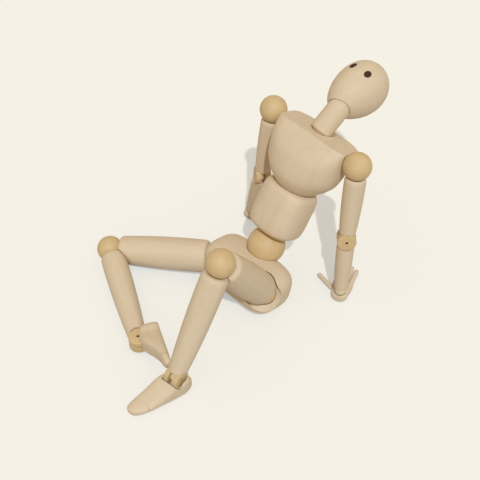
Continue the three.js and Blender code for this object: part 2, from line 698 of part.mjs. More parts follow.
  // Thigh, cupped at both ends, and the hip ball hidden between it and the pelvis
  const thighAxis = thighOut[side].clone().normalize();
  const shinAxis = shinOut[side].clone().normalize();
  const kneeAxis = thighAxis.clone().cross(shinAxis).normalize();
  const thighFrame = frameAt(hip[side], thighAxis, kneeAxis);
  const knee = pointIn(thighFrame, 0, 0, thighLength);
  const thighProfile = [
    [0, reach],
    [boreRadius, reach],
    ...cupPoints(thighTopRadius),
    [thighMidRadius, thighLength * 0.36],
    ...flipped(cupPoints(thighEndRadius), thighLength),
    [boreRadius, thighLength - limbBallRadius - boreDepth],
    [0, thighLength - limbBallRadius - boreDepth],
  ];
  const halfFold = (180 - thighAxis.angleTo(shinAxis) * 180 / Math.PI) / 2 - 1.6;
  const relief = (axis, other) => {
    const back = other.clone().addScaledVector(axis, -other.dot(axis)).normalize();
    const slant = axis.clone().multiplyScalar(Math.cos(radians(halfFold)))
      .addScaledVector(back, Math.sin(radians(halfFold)));
    const reliefFrame = frameAt(knee, slant, kneeAxis);
    const inner = axisOf(reliefFrame, 1).dot(back) > 0 ? 1 : -1;
    return block(reliefFrame, [-20, Math.min(0, inner * 20), -20], [20, Math.max(0, inner * 20), 40]);
  };
  addPiece(leg, side + '_thigh',
    turned(thighProfile, 18, thighFrame)
      .subtract(relief(thighAxis.clone().negate(), shinAxis)), paleWood);
  addPiece(leg, side + '_hip_ball',
    ball(hip[side], limbBallRadius, 16, 10).subtract(strung(hipRun(side, 0), boreRadius, 8)), tanWood);
  addPiece(leg, side + '_hip_cord', strung(hipRun(side, 0.4), cordRadius, 8), elastic);

  // Knee ball, strung from the thigh into the shin
  const back = thighAxis.clone().negate();
  const kneeRun = (trim) => bentRun(
    knee.clone().addScaledVector(back, reach - trim),
    knee.clone().addScaledVector(back, limbBallRadius * 0.9),
    knee,
    knee.clone().addScaledVector(shinAxis, limbBallRadius * 0.9),
    knee.clone().addScaledVector(shinAxis, reach - trim),
  );
  addPiece(leg, side + '_knee_ball',
    ball(knee, limbBallRadius, 16, 10).subtract(strung(kneeRun(0), boreRadius, 10)), tanWood);
  addPiece(leg, side + '_knee_cord', strung(kneeRun(0.4), cordRadius, 10), elastic);

  // Shin with its drum
  const ankleNear = side === 'left'
    ? shinAxis.clone().cross(footUp.left).negate().applyAxisAngle(footUp.left, radians(leftFootTurn))
    : rightAnklePin;
  const shinFrame = frameAt(knee, shinAxis, ankleNear);
  const shinEnd = shinLength - drumEnd(shinEndRadius);
  const shinProfile = [
    [0, reach],
    [boreRadius, reach],
    ...cupPoints(shinTopRadius),
    [shinTopRadius - 0.1, shinLength * 0.35],
    ...flipped(rimPoints(shinLength - shinEnd, shinEndRadius, 0.3, 0.5, 1), shinLength),
    [stemRadius + clearance, shinEnd],
    [stemRadius + clearance, shinLength - stemDepth - clearance],
    [0, shinLength - stemDepth - clearance],
  ];
  const ankle = pointIn(shinFrame, 0, 0, shinLength);
  const ankleFrame = frameAt(ankle, shinAxis, axisOf(shinFrame, 0));
  addPiece(leg, side + '_shin',
    turned(shinProfile, 16, shinFrame)
      .subtract(relief(shinAxis, thighAxis.clone().negate()))
      .subtract(saddle(ankleFrame)), paleWood);
  addPiece(leg, side + '_ankle_drum', drumSolid(ankleFrame), tanWood);
  addPiece(leg, side + '_ankle_pin', pinSolid(ankleFrame), steel);

  // Foot and toe, split by a round seam; foot frame has X to the figure's left and Y behind
  const footFrame = frameAt(ankle, footUp[side], axisOf(ankleFrame, 0));
  const bend = (s) => -sign * Math.max(0, s) * Math.tan(radians(toeIn));
  const sole = -ankleHeight - soleTrim;
  const cut = (s, half, top, n) => [s, bend(s), (sole + top) / 2, half, (top - sole) / 2, n];
  const w = footHalfWidth;
  const footSections = [
    cut(-footBehind, w * 0.5, -5, 2.4),
    cut(-footBehind + 0.5, w * 0.72, -3.2, 2.8),
    cut(-footBehind * 0.75, w * 0.92, -1.8, 3.8),
    cut(-footBehind * 0.4, w, -0.9, 4.5),
    cut(footAhead * 0.15, w, -0.7, 4.5),
    cut(footAhead * 0.3, w, -2.3, 3.8),
    cut(footAhead * 0.52, w * 0.94, -5.4, 3),
    cut(footAhead * 0.74, w * 0.84, -7.5, 2.6),
    cut(footAhead * 0.9, w * 0.66, -8.3, 2.5),
    cut(footAhead * 0.97, w * 0.47, -8.9, 2.4),
    cut(footAhead, w * 0.26, -9.8, 2.3),
  ];
  const whole = lofted(footSections, 16, footFrame.clone().multiply(forwards))
    .subtract(block(footFrame, [-40, -60, sole - 5], [40, 60, -ankleHeight]));
  const seamAt = footAhead * 0.61;
  const seamRadius = footAhead * 0.148;
  const seamHeight = sole + seamRadius * 0.62;
  const seamCentre = pointIn(footFrame, bend(seamAt), -seamAt, seamHeight);
  const behindSeam = block(footFrame, [-30, -seamAt, -30], [30, 40, 30]);
  const seamFrame = frameAt(seamCentre, axisOf(footFrame, 0), axisOf(footFrame, 1));
  const rounding = rod(seamFrame, seamRadius, -30, 30, 24);
  // The pocket for drum and shin: round under the drum, open above and behind
  const pocket = shinEndRadius + clearance;
  const hollow = drumRadius + clearance;
  const foot = whole.intersect(behindSeam.add(rounding))
    .subtract(rod(footFrame.clone().multiply(new THREE.Matrix4().makeRotationY(Math.PI / 2)), hollow, -pocket, pocket, 20))
    .subtract(block(footFrame, [-pocket, -hollow, 0], [pocket, 40, 20]))
    .subtract(block(footFrame, [-pocket, 0, -hollow], [pocket, 40, 1]))
    .add(tongueSolid(footFrame.clone().multiply(new THREE.Matrix4().makeRotationX(Math.PI)), drumRadius + 3));
  addPiece(leg, side + '_foot', foot, paleWood);
  addPiece(leg, side + '_toe',
    whole.subtract(behindSeam).subtract(rod(seamFrame, seamRadius + clearance, -30, 30, 24)), paleWood);
}

// Stand the figure on the floor, centred
const extent = new THREE.Box3().setFromObject(figure, true);
figure.position.set(
  -(extent.min.x + extent.max.x) / 2,
  -(extent.min.y + extent.max.y) / 2,
  -extent.min.z,
);
figure.updateMatrixWorld(true);

export default figure;
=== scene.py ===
import json
import math
import bmesh
import bpy
from mathutils import Matrix, Vector


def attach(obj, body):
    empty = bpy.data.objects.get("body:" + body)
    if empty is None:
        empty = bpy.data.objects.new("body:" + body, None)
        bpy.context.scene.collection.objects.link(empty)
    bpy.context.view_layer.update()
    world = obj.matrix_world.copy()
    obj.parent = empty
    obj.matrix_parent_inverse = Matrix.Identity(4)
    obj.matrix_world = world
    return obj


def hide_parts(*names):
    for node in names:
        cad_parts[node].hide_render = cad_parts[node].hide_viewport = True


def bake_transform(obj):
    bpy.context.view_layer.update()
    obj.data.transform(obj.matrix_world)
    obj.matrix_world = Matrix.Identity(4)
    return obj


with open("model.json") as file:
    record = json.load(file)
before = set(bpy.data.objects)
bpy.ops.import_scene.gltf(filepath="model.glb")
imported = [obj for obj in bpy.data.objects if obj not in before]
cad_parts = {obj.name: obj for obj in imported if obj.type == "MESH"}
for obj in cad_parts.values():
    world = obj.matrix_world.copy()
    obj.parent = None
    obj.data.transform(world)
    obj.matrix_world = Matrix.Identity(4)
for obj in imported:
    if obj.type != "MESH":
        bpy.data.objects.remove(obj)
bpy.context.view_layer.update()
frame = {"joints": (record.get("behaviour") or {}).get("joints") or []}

# Sizes are in millimetres in each piece's own frame, then placed in metres
mm = 0.001
sides = {"left": 1, "right": -1}
joints = {joint["name"]: joint for joint in frame["joints"]}

# Fits that the joints share
fit = {"clearance": 0.3, "cord": 0.9, "bore": 1.2, "boreDepth": 9.0, "ball": 7.5, "waistBall": 10.7,
       "cupShare": 0.86, "rimRound": 2.4, "rimFlat": 0.25, "softShare": 0.6}
drum = {"radius": 5.2, "half": 4.2, "round": 0.55, "slot": 1.3, "slotDepth": 3.5, "stem": 2.1,
        "stemTop": 0.3, "stemDepth": 12.0, "tongue": 1.0, "tongueRadius": 3.1, "tongueShare": 0.78,
        "tongueThin": 0.995, "tongueRoot": 3.0, "pin": 0.6, "pinHole": 0.8, "pinHoleHalf": 3.0,
        "pinSink": 0.1, "pinRound": 0.15, "saddleHalf": 14.0, "seatIn": 0.3, "seatGap": 0.05}


# Where a joint is, and which way it turns
def spot(name):
    return Vector(joints[name]["pos_m"])


def axis(name):
    return Vector(joints[name]["axis"]).normalized()


# Frame at a point with its Z along one direction and its X near another
def placing(origin, alongZ, nearX):
    z = alongZ.normalized()
    x = (nearX - z * nearX.dot(z)).normalized()
    y = z.cross(x)
    turn = Matrix((x, y, z)).transposed().to_4x4()
    return Matrix.Translation(origin) @ turn


def column(place, number):
    return place.to_3x3().col[number].copy()


# Turned shapes: a profile of radius and height, spun once round Z
def turned(profile, steps):
    bm = bmesh.new()
    corners = [bm.verts.new((r, 0.0, z)) for r, z in profile]
    edges = [bm.edges.new(pair) for pair in zip(corners, corners[1:])]
    bmesh.ops.spin(bm, geom=corners + edges, cent=(0, 0, 0), axis=(0, 0, 1), angle=2 * math.pi,
                   steps=steps, use_merge=True, use_duplicate=False)
    bmesh.ops.remove_doubles(bm, verts=bm.verts, dist=1e-4)
    bmesh.ops.recalc_face_normals(bm, faces=bm.faces)
    return bm


# Part of a circle round a point of the axis, in degrees from straight out
def arc(centre, radius, start, end, steps):
    points = []
    for i in range(steps + 1):
        angle = math.radians(start + (end - start) * i / steps)
        points.append((max(0.0, radius * math.cos(angle)), centre + radius * math.sin(angle)))
    return points


# Quarter of an ellipse that rounds the outer edge of an end
def rim(end, outer, across, along, steps):
    points = []
    for i in range(steps + 1):
        angle = math.radians(90 * i / steps)
        points.append((outer - across + across * math.sin(angle), end + along - along * math.cos(angle)))
    return points


def flipped(points, length):
    return [(r, length - z) for r, z in reversed(points)]


# A limb's outline through three radii, as one smooth curve
def swell(heights, radii, steps):
    points = []
    for i in range(1, steps):
        z = heights[0] + (heights[2] - heights[0]) * i / steps
        r = 0.0
        for k in range(3):
            weight = 1.0
            for m in range(3):
                if m != k:
                    weight *= (z - heights[m]) / (heights[k] - heights[m])
            r += weight * radii[k]
        points.append((r, z))
    return points


# Cup at a limb's ball end: bore, cup and rounded rim, with a flat of its own left between them
def cup(outer):
    seat = fit["ball"] + fit["clearance"]
    end = fit["ball"] * fit["cupShare"]
    mouth = math.sqrt(seat ** 2 - end ** 2)
    points = []
    for i in range(9):
        r = fit["bore"] + (mouth - fit["bore"]) * i / 8
        points.append((r, math.sqrt(seat ** 2 - r ** 2)))
    across = min(fit["rimRound"], outer - mouth - fit["rimFlat"])
    return points + rim(end, outer, across, fit["rimRound"], 10)


# Value at a height on a smooth curve through given values that never swings past them
def eased(heights, values, z):
    count = len(heights)
    gaps = [heights[i + 1] - heights[i] for i in range(count - 1)]
    rises = [(values[i + 1] - values[i]) / gaps[i] for i in range(count - 1)]
    i = max(k for k in range(count - 1) if k == 0 or heights[k] <= z + 1e-9)

    def slope(k):
        if k == 0:
            return rises[0]
        if k == count - 1:
            return rises[-1]
        if rises[k - 1] * rises[k] <= 0:
            return 0.0
        before, after = 2 * gaps[k] + gaps[k - 1], gaps[k] + 2 * gaps[k - 1]
        return (before + after) / (before / rises[k - 1] + after / rises[k])

    t = (z - heights[i]) / gaps[i]
    low, high = slope(i) * gaps[i], slope(i + 1) * gaps[i]
    return (values[i] * (1 + 2 * t) * (1 - t) ** 2 + low * t * (1 - t) ** 2
            + values[i + 1] * t * t * (3 - 2 * t) + high * t * t * (t - 1))


# Smooth rows set between the given ones; a row is height, centre x and y, half sizes and squareness
def finer(rows, per):
    heights = [row[0] for row in rows]
    lists = list(zip(*rows))
    out = []
    for i in range(len(rows) - 1):
        for k in range(per):
            z = heights[i] + (heights[i + 1] - heights[i]) * k / per
            out.append([z] + [eased(heights, values, z) for values in lists[1:]])
    return out + [list(rows[-1])]


def squared(part, n):
    return math.copysign(abs(part) ** (2 / n), part)


# Stacked shapes: a spun drum whose rings take the rows' centres, sizes and squareness
def stacked(rows, steps):
    last = len(rows) - 1
    profile = [(0.0, 0.0)] + [(1.0, float(i)) for i in range(len(rows))] + [(0.0, float(last))]
    bm = turned(profile, steps)
    for v in bm.verts:
        z, cx, cy, a, b, n = rows[round(v.co.z)]
        if abs(v.co.x) + abs(v.co.y) > 0.5:
            v.co = Vector((cx + a * squared(v.co.x, n), cy + b * squared(v.co.y, n), z))
        else:
            v.co = Vector((cx, cy, z))
    bmesh.ops.recalc_face_normals(bm, faces=bm.faces)
    return bm


def ballShape(radius, steps):
    return turned(arc(0, radius, -90, 90, steps // 2), steps)


def rod(radius, start, end, steps):
    return turned([(0, start), (radius, start), (radius, end), (0, end)], steps)


def box(low, high):
    bm = bmesh.new()
    bmesh.ops.create_cube(bm, size=1.0)
    for v in bm.verts:
        v.co = Vector([low[i] + (high[i] - low[i]) * (v.co[i] + 0.5) for i in range(3)])
    return bm


acrossX = Matrix.Rotation(math.pi / 2, 4, "Y")


def moved(bm, matrix):
    bmesh.ops.transform(bm, matrix=matrix, verts=bm.verts)
    return bm


# A placed mesh object in metres
def objectFrom(bm, place, name):
    bmesh.ops.transform(bm, matrix=place @ Matrix.Scale(mm, 4), verts=bm.verts)
    mesh = bpy.data.meshes.new(name)
    bm.to_mesh(mesh)
    bm.free()
    obj = bpy.data.objects.new(name, mesh)
    bpy.context.scene.collection.objects.link(obj)
    return obj


# Cuts another shape out of an object, or adds it
def carve(obj, bm, place, how="DIFFERENCE"):
    cutter = objectFrom(bm, place, "cutter")
    step = obj.modifiers.new("cut", "BOOLEAN")
    step.operation = how
    step.solver = "EXACT"
    step.object = cutter
    graph = bpy.context.evaluated_depsgraph_get()
    result = bpy.data.meshes.new_from_object(obj.evaluated_get(graph))
    old = obj.data
    obj.modifiers.remove(step)
    obj.data = result
    bpy.data.meshes.remove(old)
    spent = cutter.data
    bpy.data.objects.remove(cutter)
    bpy.data.meshes.remove(spent)
    return obj


# Materials: a node with its constant inputs, and a material with its shader
def node(tree, kind, **inputs):
    made = tree.nodes.new(kind)
    for key, value in inputs.items():
        made.inputs[key].default_value = value
    return made


def plainMaterial(name):
    material = bpy.data.materials.new(name)
    material.use_nodes = True
    tree = material.node_tree
    return material, tree, tree.nodes["Principled BSDF"]


woodLook = {"streakDetail": 4, "streakRough": 0.55, "streakBend": 0.6, "fleckDetail": 2, "fleckRough": 0.5,
            "toneEnds": (0.3, 0.7), "fleckEnds": (0.6, 0.74), "bumpDepth": 0.0002, "gloss": 0.3}


# Wood: long faint streaks and short dark flecks along each piece's own grain
def woodMaterial(name, look):
    material, tree, shader = plainMaterial(name)
    link = tree.links.new
    grain = tree.nodes.new("ShaderNodeAttribute")
    grain.attribute_name = "grain"
    streakMap = node(tree, "ShaderNodeMapping", Scale=(1, 1, look["streakRun"]))
    link(grain.outputs["Vector"], streakMap.inputs["Vector"])
    streak = node(tree, "ShaderNodeTexNoise", Scale=look["streakScale"], Detail=woodLook["streakDetail"],
                  Roughness=woodLook["streakRough"], Distortion=woodLook["streakBend"])
    link(streakMap.outputs["Vector"], streak.inputs["Vector"])
    fleckMap = node(tree, "ShaderNodeMapping", Scale=(1, 1, look["fleckRun"]))
    link(grain.outputs["Vector"], fleckMap.inputs["Vector"])
    fleck = node(tree, "ShaderNodeTexNoise", Scale=look["fleckScale"], Detail=woodLook["fleckDetail"],
                 Roughness=woodLook["fleckRough"])
    link(fleckMap.outputs["Vector"], fleck.inputs["Vector"])
    tone = tree.nodes.new("ShaderNodeValToRGB")
    tone.color_ramp.elements[0].position = woodLook["toneEnds"][0]
    tone.color_ramp.elements[0].color = (*look["dark"], 1)
    tone.color_ramp.elements[1].position = woodLook["toneEnds"][1]
    tone.color_ramp.elements[1].color = (*look["light"], 1)
    link(streak.outputs["Fac"], tone.inputs["Fac"])
    spots = tree.nodes.new("ShaderNodeValToRGB")
    spots.color_ramp.elements[0].position = woodLook["fleckEnds"][0]
    spots.color_ramp.elements[0].color = (0, 0, 0, 1)
    spots.color_ramp.elements[1].position = woodLook["fleckEnds"][1]
    spots.color_ramp.elements[1].color = (look["fleckDepth"],) * 3 + (1,)
    link(fleck.outputs["Fac"], spots.inputs["Fac"])
    mix = tree.nodes.new("ShaderNodeMix")
    mix.data_type = "RGBA"
    mix.inputs["B"].default_value = (*look["fleck"], 1)
    link(spots.outputs["Color"], mix.inputs["Factor"])
    link(tone.outputs["Color"], mix.inputs["A"])
    link(mix.outputs["Result"], shader.inputs["Base Color"])
    rough = node(tree, "ShaderNodeMapRange")
    rough.inputs["To Min"].default_value = look["rough"][0]
    rough.inputs["To Max"].default_value = look["rough"][1]
    link(streak.outputs["Fac"], rough.inputs["Value"])
    link(rough.outputs["Result"], shader.inputs["Roughness"])
    bump = node(tree, "ShaderNodeBump", Strength=look["bump"], Distance=woodLook["bumpDepth"])
    link(fleck.outputs["Fac"], bump.inputs["Height"])
    link(bump.outputs["Normal"], shader.inputs["Normal"])
    shader.inputs["Specular IOR Level"].default_value = woodLook["gloss"]
    return material


paleLook = {"light": (0.748, 0.596, 0.402), "dark": (0.702, 0.55, 0.362), "fleck": (0.58, 0.43, 0.27),
            "fleckDepth": 0.2, "fleckScale": 1500.0, "fleckRun": 0.12, "streakScale": 260.0,
            "streakRun": 0.07, "rough": (0.5, 0.66), "bump": 0.08}
tanLook = {"light": (0.705, 0.505, 0.256), "dark": (0.645, 0.452, 0.222), "fleck": (0.5, 0.33, 0.15),
           "fleckDepth": 0.2, "fleckScale": 1600.0, "fleckRun": 0.14, "streakScale": 300.0,
           "streakRun": 0.09, "rough": (0.46, 0.6), "bump": 0.06}
paleWood = woodMaterial("paleWood", paleLook)
tanWood = woodMaterial("tanWood", tanLook)


noiseLook = {"detail": 3, "bumpDepth": 0.0001}


# A material of two tones in fine noise
def noisyMaterial(name, look):
    material, tree, shader = plainMaterial(name)
    link = tree.links.new
    spotMap = tree.nodes.new("ShaderNodeTexCoord")
    noise = node(tree, "ShaderNodeTexNoise", Scale=look["scale"], Detail=noiseLook["detail"])
    link(spotMap.outputs["Object"], noise.inputs["Vector"])
    tone = tree.nodes.new("ShaderNodeValToRGB")
    tone.color_ramp.elements[0].color = (*look["dark"], 1)
    tone.color_ramp.elements[1].color = (*look["light"], 1)
    link(noise.outputs["Fac"], tone.inputs["Fac"])
    link(tone.outputs["Color"], shader.inputs["Base Color"])
    bump = node(tree, "ShaderNodeBump", Strength=look["bump"], Distance=noiseLook["bumpDepth"])
    link(noise.outputs["Fac"], bump.inputs["Height"])
    link(bump.outputs["Normal"], shader.inputs["Normal"])
    shader.inputs["Roughness"].default_value = look["rough"]
    shader.inputs["Metallic"].default_value = look["metallic"]
    shader.inputs["Specular IOR Level"].default_value = look["gloss"]
    return material


eyeLook = {"dark": (0.035, 0.016, 0.007), "light": (0.085, 0.04, 0.018), "scale": 900.0, "rough": 0.6,
           "metallic": 0.0, "bump": 0.05, "gloss": 0.12}
steelLook = {"dark": (0.022, 0.016, 0.011), "light": (0.05, 0.04, 0.03), "scale": 2500.0, "rough": 0.5,
             "metallic": 0.4, "bump": 0.08, "gloss": 0.5}
cordLook = {"dark": (0.6, 0.56, 0.48), "light": (0.82, 0.79, 0.72), "scale": 3000.0, "rough": 0.85,
            "metallic": 0.0, "bump": 0.4, "gloss": 0.5}
darkEye = noisyMaterial("darkEye", eyeLook)
darkSteel = noisyMaterial("darkSteel", steelLook)
cordWeave = noisyMaterial("cordWeave", cordLook)
print("materials ready")

pieceCount = 0
finish = {"sharp": 42.0, "crisp": 40.0, "smooth": 60.0, "bevelAngle": 38.0, "bevelSteps": 2,
          "grainStep": (0.37, 0.61, 0.83)}


# Finishes a piece: grain along its own Z, smooth shading with crisp cuts, and its body and node
def settle(obj, place, body, nodes, material, sharp=finish["sharp"], soften=0.0):
    global pieceCount
    pieceCount += 1
    mesh = obj.data
    mesh.materials.clear()
    mesh.materials.append(material)
    if soften > 0:
        edge = obj.modifiers.new("softEdge", "BEVEL")
        edge.width = soften * mm
        edge.segments = finish["bevelSteps"]
        edge.limit_method = "ANGLE"
        edge.angle_limit = math.radians(finish["bevelAngle"])
        edge.use_clamp_overlap = True
    back = place.inverted()
    shift = Vector([step * pieceCount for step in finish["grainStep"]])
    grain = mesh.attributes.new("grain", "FLOAT_VECTOR", "POINT")
    for v in mesh.vertices:
        grain.data[v.index].vector = back @ v.co + shift
    mesh.shade_smooth()
    mesh.set_sharp_from_angle(angle=math.radians(sharp))
    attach(obj, body)
    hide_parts(*nodes)


# Finishes a piece of pale wood that stands for one node of the same name as its body
def settlePale(obj, place, name, sharp=finish["sharp"], soften=0.0):
    settle(obj, place, name, [name], paleWood, sharp, soften)


cordShape = {"rings": 14, "sides": 16, "short": 0.4, "ballStart": 3, "aside": (0.31, 0.77, 0.55)}


# Elastic cord from a ball's centre into a bore, as one straight rod fixed where it is made
def stringCord(name, start, end, nodes):
    length = (end - start).length / mm
    count = cordShape["rings"]
    rings = [(0.0, 0.0)] + [(fit["cord"], length * i / count) for i in range(count + 1)] + [(0.0, length)]
    place = placing(start, end - start, Vector(cordShape["aside"]))
    obj = objectFrom(turned(rings, cordShape["sides"]), place, name)
    obj.data.materials.append(cordWeave)
    obj.data.shade_smooth()
    obj.data.set_sharp_from_angle(angle=math.radians(finish["sharp"]))
    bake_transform(obj)
    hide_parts(*nodes)


# Cord from a ball's centre to the end of a bore in the limb beside it
def ballCord(name, centre, way, deep, cord):
    end = centre + way * deep * mm
    stringCord(name, centre, end, [cord])


# Frames of the trunk, read from the joints
waist = spot("waist_bend")
torso = placing(waist, axis("waist_twist"), axis("waist_bend"))
dome = spot("chest_lean")
neckFoot = spot("neck_tilt")
neckTop = spot("head_turn")
neckAxis = axis("head_turn")
hips = {side: spot(side + "_hip_swing") for side in sides}
shoulders = {side: spot(side + "_shoulder_swing") for side in sides}
knees = {side: spot(side + "_knee_bend") for side in sides}
pelvisShape = {"half": (26.2, 15.1, 12.8), "middle": (2.6, 0.4), "across": 1.4, "lean": 15.0, "square": 3.0,
               "endPower": 5, "endRoot": 3, "thigh": 9.3, "thighLength": 65.6, "thighGap": 0.45,
               "overlap": 0.5, "spare": 0.8, "socketOut": (0.5, -0.86, 0.11), "cordDepth": 5.6}
hipsMiddle = (hips["left"] + hips["right"]) / 2
pelvisLean = Matrix.Rotation(math.radians(-pelvisShape["lean"]), 4, "X")
pelvisPlace = Matrix.Translation(hipsMiddle) @ pelvisLean


# Room that a thigh sweeps from one end of its hip's range to the other, as one hull round the hip
def thighRoom(side):
    p = pelvisShape
    about = axis(side + "_hip_swing")
    low, high = joints[side + "_hip_swing"]["range_deg"]
    thighWay = (knees[side] - hips[side]).normalized()
    start = fit["ball"] * fit["cupShare"] - p["overlap"]
    room = bmesh.new()
    for turn in (low - p["spare"], high + p["spare"]):
        way = Matrix.Rotation(math.radians(turn), 3, about) @ thighWay
        tube = rod(p["thigh"] + p["thighGap"], start, p["thighLength"], 48)
        tube = moved(tube, placing(Vector((0, 0, 0)), way, Vector((1, 0, 0))))
        mesh = bpy.data.meshes.new("tube")
        tube.to_mesh(mesh)
        tube.free()
        room.from_mesh(mesh)
        bpy.data.meshes.remove(mesh)
    bmesh.ops.delete(room, geom=room.edges[:] + room.faces[:], context="EDGES_FACES")
    bmesh.ops.convex_hull(room, input=room.verts)
    bmesh.ops.delete(room, geom=[v for v in room.verts if not v.link_faces], context="VERTS")
    bmesh.ops.recalc_face_normals(room, faces=room.faces)
    return room


# Pelvis: a rounded block, dished for the waist ball, and hollowed at each hip for the thigh's own swing
def makePelvis():
    p = pelvisShape
    long, wide, high = p["half"]
    rows = []
    for i in range(-32, 33):
        share = math.sin(math.pi * i / 64)
        body = max(0.0, 1 - abs(share) ** p["endPower"]) ** (1 / p["endRoot"])
        rows.append([p["across"] + share * long, *p["middle"], wide * body, high * body, p["square"]])
    bm = stacked(rows[1:-1], 96)
    bm = moved(bm, Matrix(((0, 0, 1, 0), (1, 0, 0, 0), (0, 1, 0, 0), (0, 0, 0, 1))))
    bmesh.ops.recalc_face_normals(bm, faces=bm.faces)
    obj = objectFrom(bm, pelvisPlace, "pelvis_block")
    carve(obj, ballShape(fit["waistBall"] + fit["clearance"], 72), Matrix.Translation(waist))
    for side in sides:
        carve(obj, thighRoom(side), Matrix.Translation(hips[side]))
        carve(obj, ballShape(fit["ball"] + fit["clearance"], 64), Matrix.Translation(hips[side]))
    settlePale(obj, pelvisPlace @ acrossX, "pelvis", finish["crisp"])


makePelvis()
ballAside = {"grain": (0.2, 0.9, 0.4), "bore": (0.3, 0.8, 0.5)}


# Ball of darker wood, bored for the cord that runs through it
def makeBall(name, centre, radius, bores, grainWay):
    place = placing(centre, grainWay, Vector(ballAside["grain"]))
    obj = objectFrom(ballShape(radius, 72), place, name + "_turned")
    for way in bores:
        carve(obj, rod(fit["bore"], 0, radius + 2, 24), placing(centre, way, Vector(ballAside["bore"])))
    settle(obj, place, name, [name], tanWood)


upTorso = axis("waist_twist")
makeBall("waist_ball", waist, fit["waistBall"], [upTorso, -upTorso], column(torso, 0))

abdomen = {"half": (14.8, 13.5), "ahead": 1.0, "low": 10.3, "high": 38.2}


# Abdomen: a rounded block that sits on the waist ball and holds the round end of the chest
def makeAbdomen():
    w, d = abdomen["half"]
    low = abdomen["low"]
    rise = abdomen["high"] - low
    shape = [(0, 5, 2.6), (0.01, 3.6, 2.6), (0.04, 1.9, 2.7), (0.12, 0.5, 2.8), (0.33, 0, 2.9),
             (0.65, 0, 2.9), (0.88, 0.4, 2.8), (0.965, 1.3, 2.7), (0.992, 2.3, 2.6), (1, 3.2, 2.6)]
    rows = [[low + share * rise, 0, -abdomen["ahead"], w - trim, d - trim, n] for share, trim, n in shape]
    obj = objectFrom(stacked(finer(rows, 5), 80), torso, "abdomen_block")
    carve(obj, ballShape(fit["waistBall"] + fit["clearance"], 72), Matrix.Translation(waist))
    carve(obj, ballShape(chest["dome"] + fit["clearance"], 96), Matrix.Translation(dome))
    settlePale(obj, torso, "abdomen")


chest = {"half": (22.8, 15.6), "bottom": 34.0, "top": 72.4, "dome": 17.0, "domeStart": 3.0, "domeEnd": 44.0,
         "domeRows": 14, "slope": 0.12, "arch": 0.8, "soften": 0.5}


# Chest: round below, fuller in front, with a flat sloped top and a cup for each shoulder ball and the neck
def makeChest():
    w, d = chest["half"]
    bottom = chest["bottom"]
    rise = chest["top"] - bottom
    middle = bottom + chest["dome"]
    start, turn, last = chest["domeStart"], chest["domeEnd"] - chest["domeStart"], chest["domeRows"] - 1
    rows = []
    for i in range(chest["domeRows"]):
        angle = math.radians(start + turn * i / last)
        r = chest["dome"] * math.sin(angle)
        rows.append([middle - chest["dome"] * math.cos(angle), 0, 0, r, r, 2])
    upper = [
        (0.21, -0.9, w - 7.7, d - 1.4, 2.03),
        (0.31, -1.3, w - 4.2, d + 0.3, 2.08),
        (0.43, -1.5, w - 1.4, d + 0.8, 2.15),
        (0.6, -1.8, w - 0.1, d + 0.5, 2.4),
        (0.78, -2, w + 0.2, d - 1.7, 3.1),
        (0.9, -1.9, w + 0.3, d - 4.1, 3.9),
        (0.974, -1.8, w + 0.2, d - 5.5, 4.6),
        (1, -1.7, w - 0.1, d - 6.1, 4.9),
    ]
    rows += [[bottom + share * rise, 0, cy, a, b, n] for share, cy, a, b, n in upper]
    bm = stacked(finer(rows, 4), 96)
    for vert in bm.verts:
        share = max(0.0, 2 * (vert.co.z - bottom) / rise - 1)
        vert.co.z += share * (vert.co.y * chest["slope"] - (vert.co.x / w) ** 2 * chest["arch"])
    obj = objectFrom(bm, torso, "chest_block")
    for side in sides:
        carve(obj, ballShape(fit["ball"] + fit["clearance"], 64), Matrix.Translation(shoulders[side]))
    carve(obj, ballShape(neckShape["foot"] + fit["clearance"], 64), Matrix.Translation(neckFoot))
    settlePale(obj, torso, "chest", soften=chest["soften"])


neckShape = {"radius": 6.15, "foot": 8.0, "sink": 1.0, "rise": 15.4, "edgeIn": 0.9, "edge": (0.85, 1.1),
             "edgeGap": 0.05, "holeTrim": 0.01, "holePast": 0.5}
makeAbdomen()
makeChest()
print("trunk made")

neckPlace = placing(neckTop - neckAxis * neckShape["rise"] * mm, neckAxis, column(torso, 0))


# Neck: a turned drum with a domed foot and a round top
def makeNeck():
    n = neckShape
    middle = n["foot"] - n["sink"]
    turn = -math.degrees(math.acos((n["radius"] - n["edgeIn"]) / n["foot"]))
    foot = arc(middle, n["foot"], -90, turn, 12)
    start = foot[-1][1] + n["edgeGap"]
    profile = foot + rim(start, n["radius"], *n["edge"], 6) + arc(n["rise"], n["radius"], 0, 90, 20)
    obj = objectFrom(turned(profile, 64), neckPlace, "neck_turned")
    settlePale(obj, neckPlace, "neck", finish["crisp"])


makeNeck()

headShape = {"length": 38.6, "width": 27.0, "depth": 29.8, "lean": 0.16, "slim": 0.993,
             "at": (-1.8, 17.7, 0.9), "up": (0.04, 0.999, 0), "left": (0.999, -0.04, 0)}
eyeShape = {"spacing": 4.95, "half": (1.75, 0.75, 2.3), "rise": 0.02, "inset": 0.985, "gap": 0.12}
headAt = neckTop + Vector(headShape["at"]) * mm
headPlace = placing(headAt, Vector(headShape["up"]), Vector(headShape["left"]))


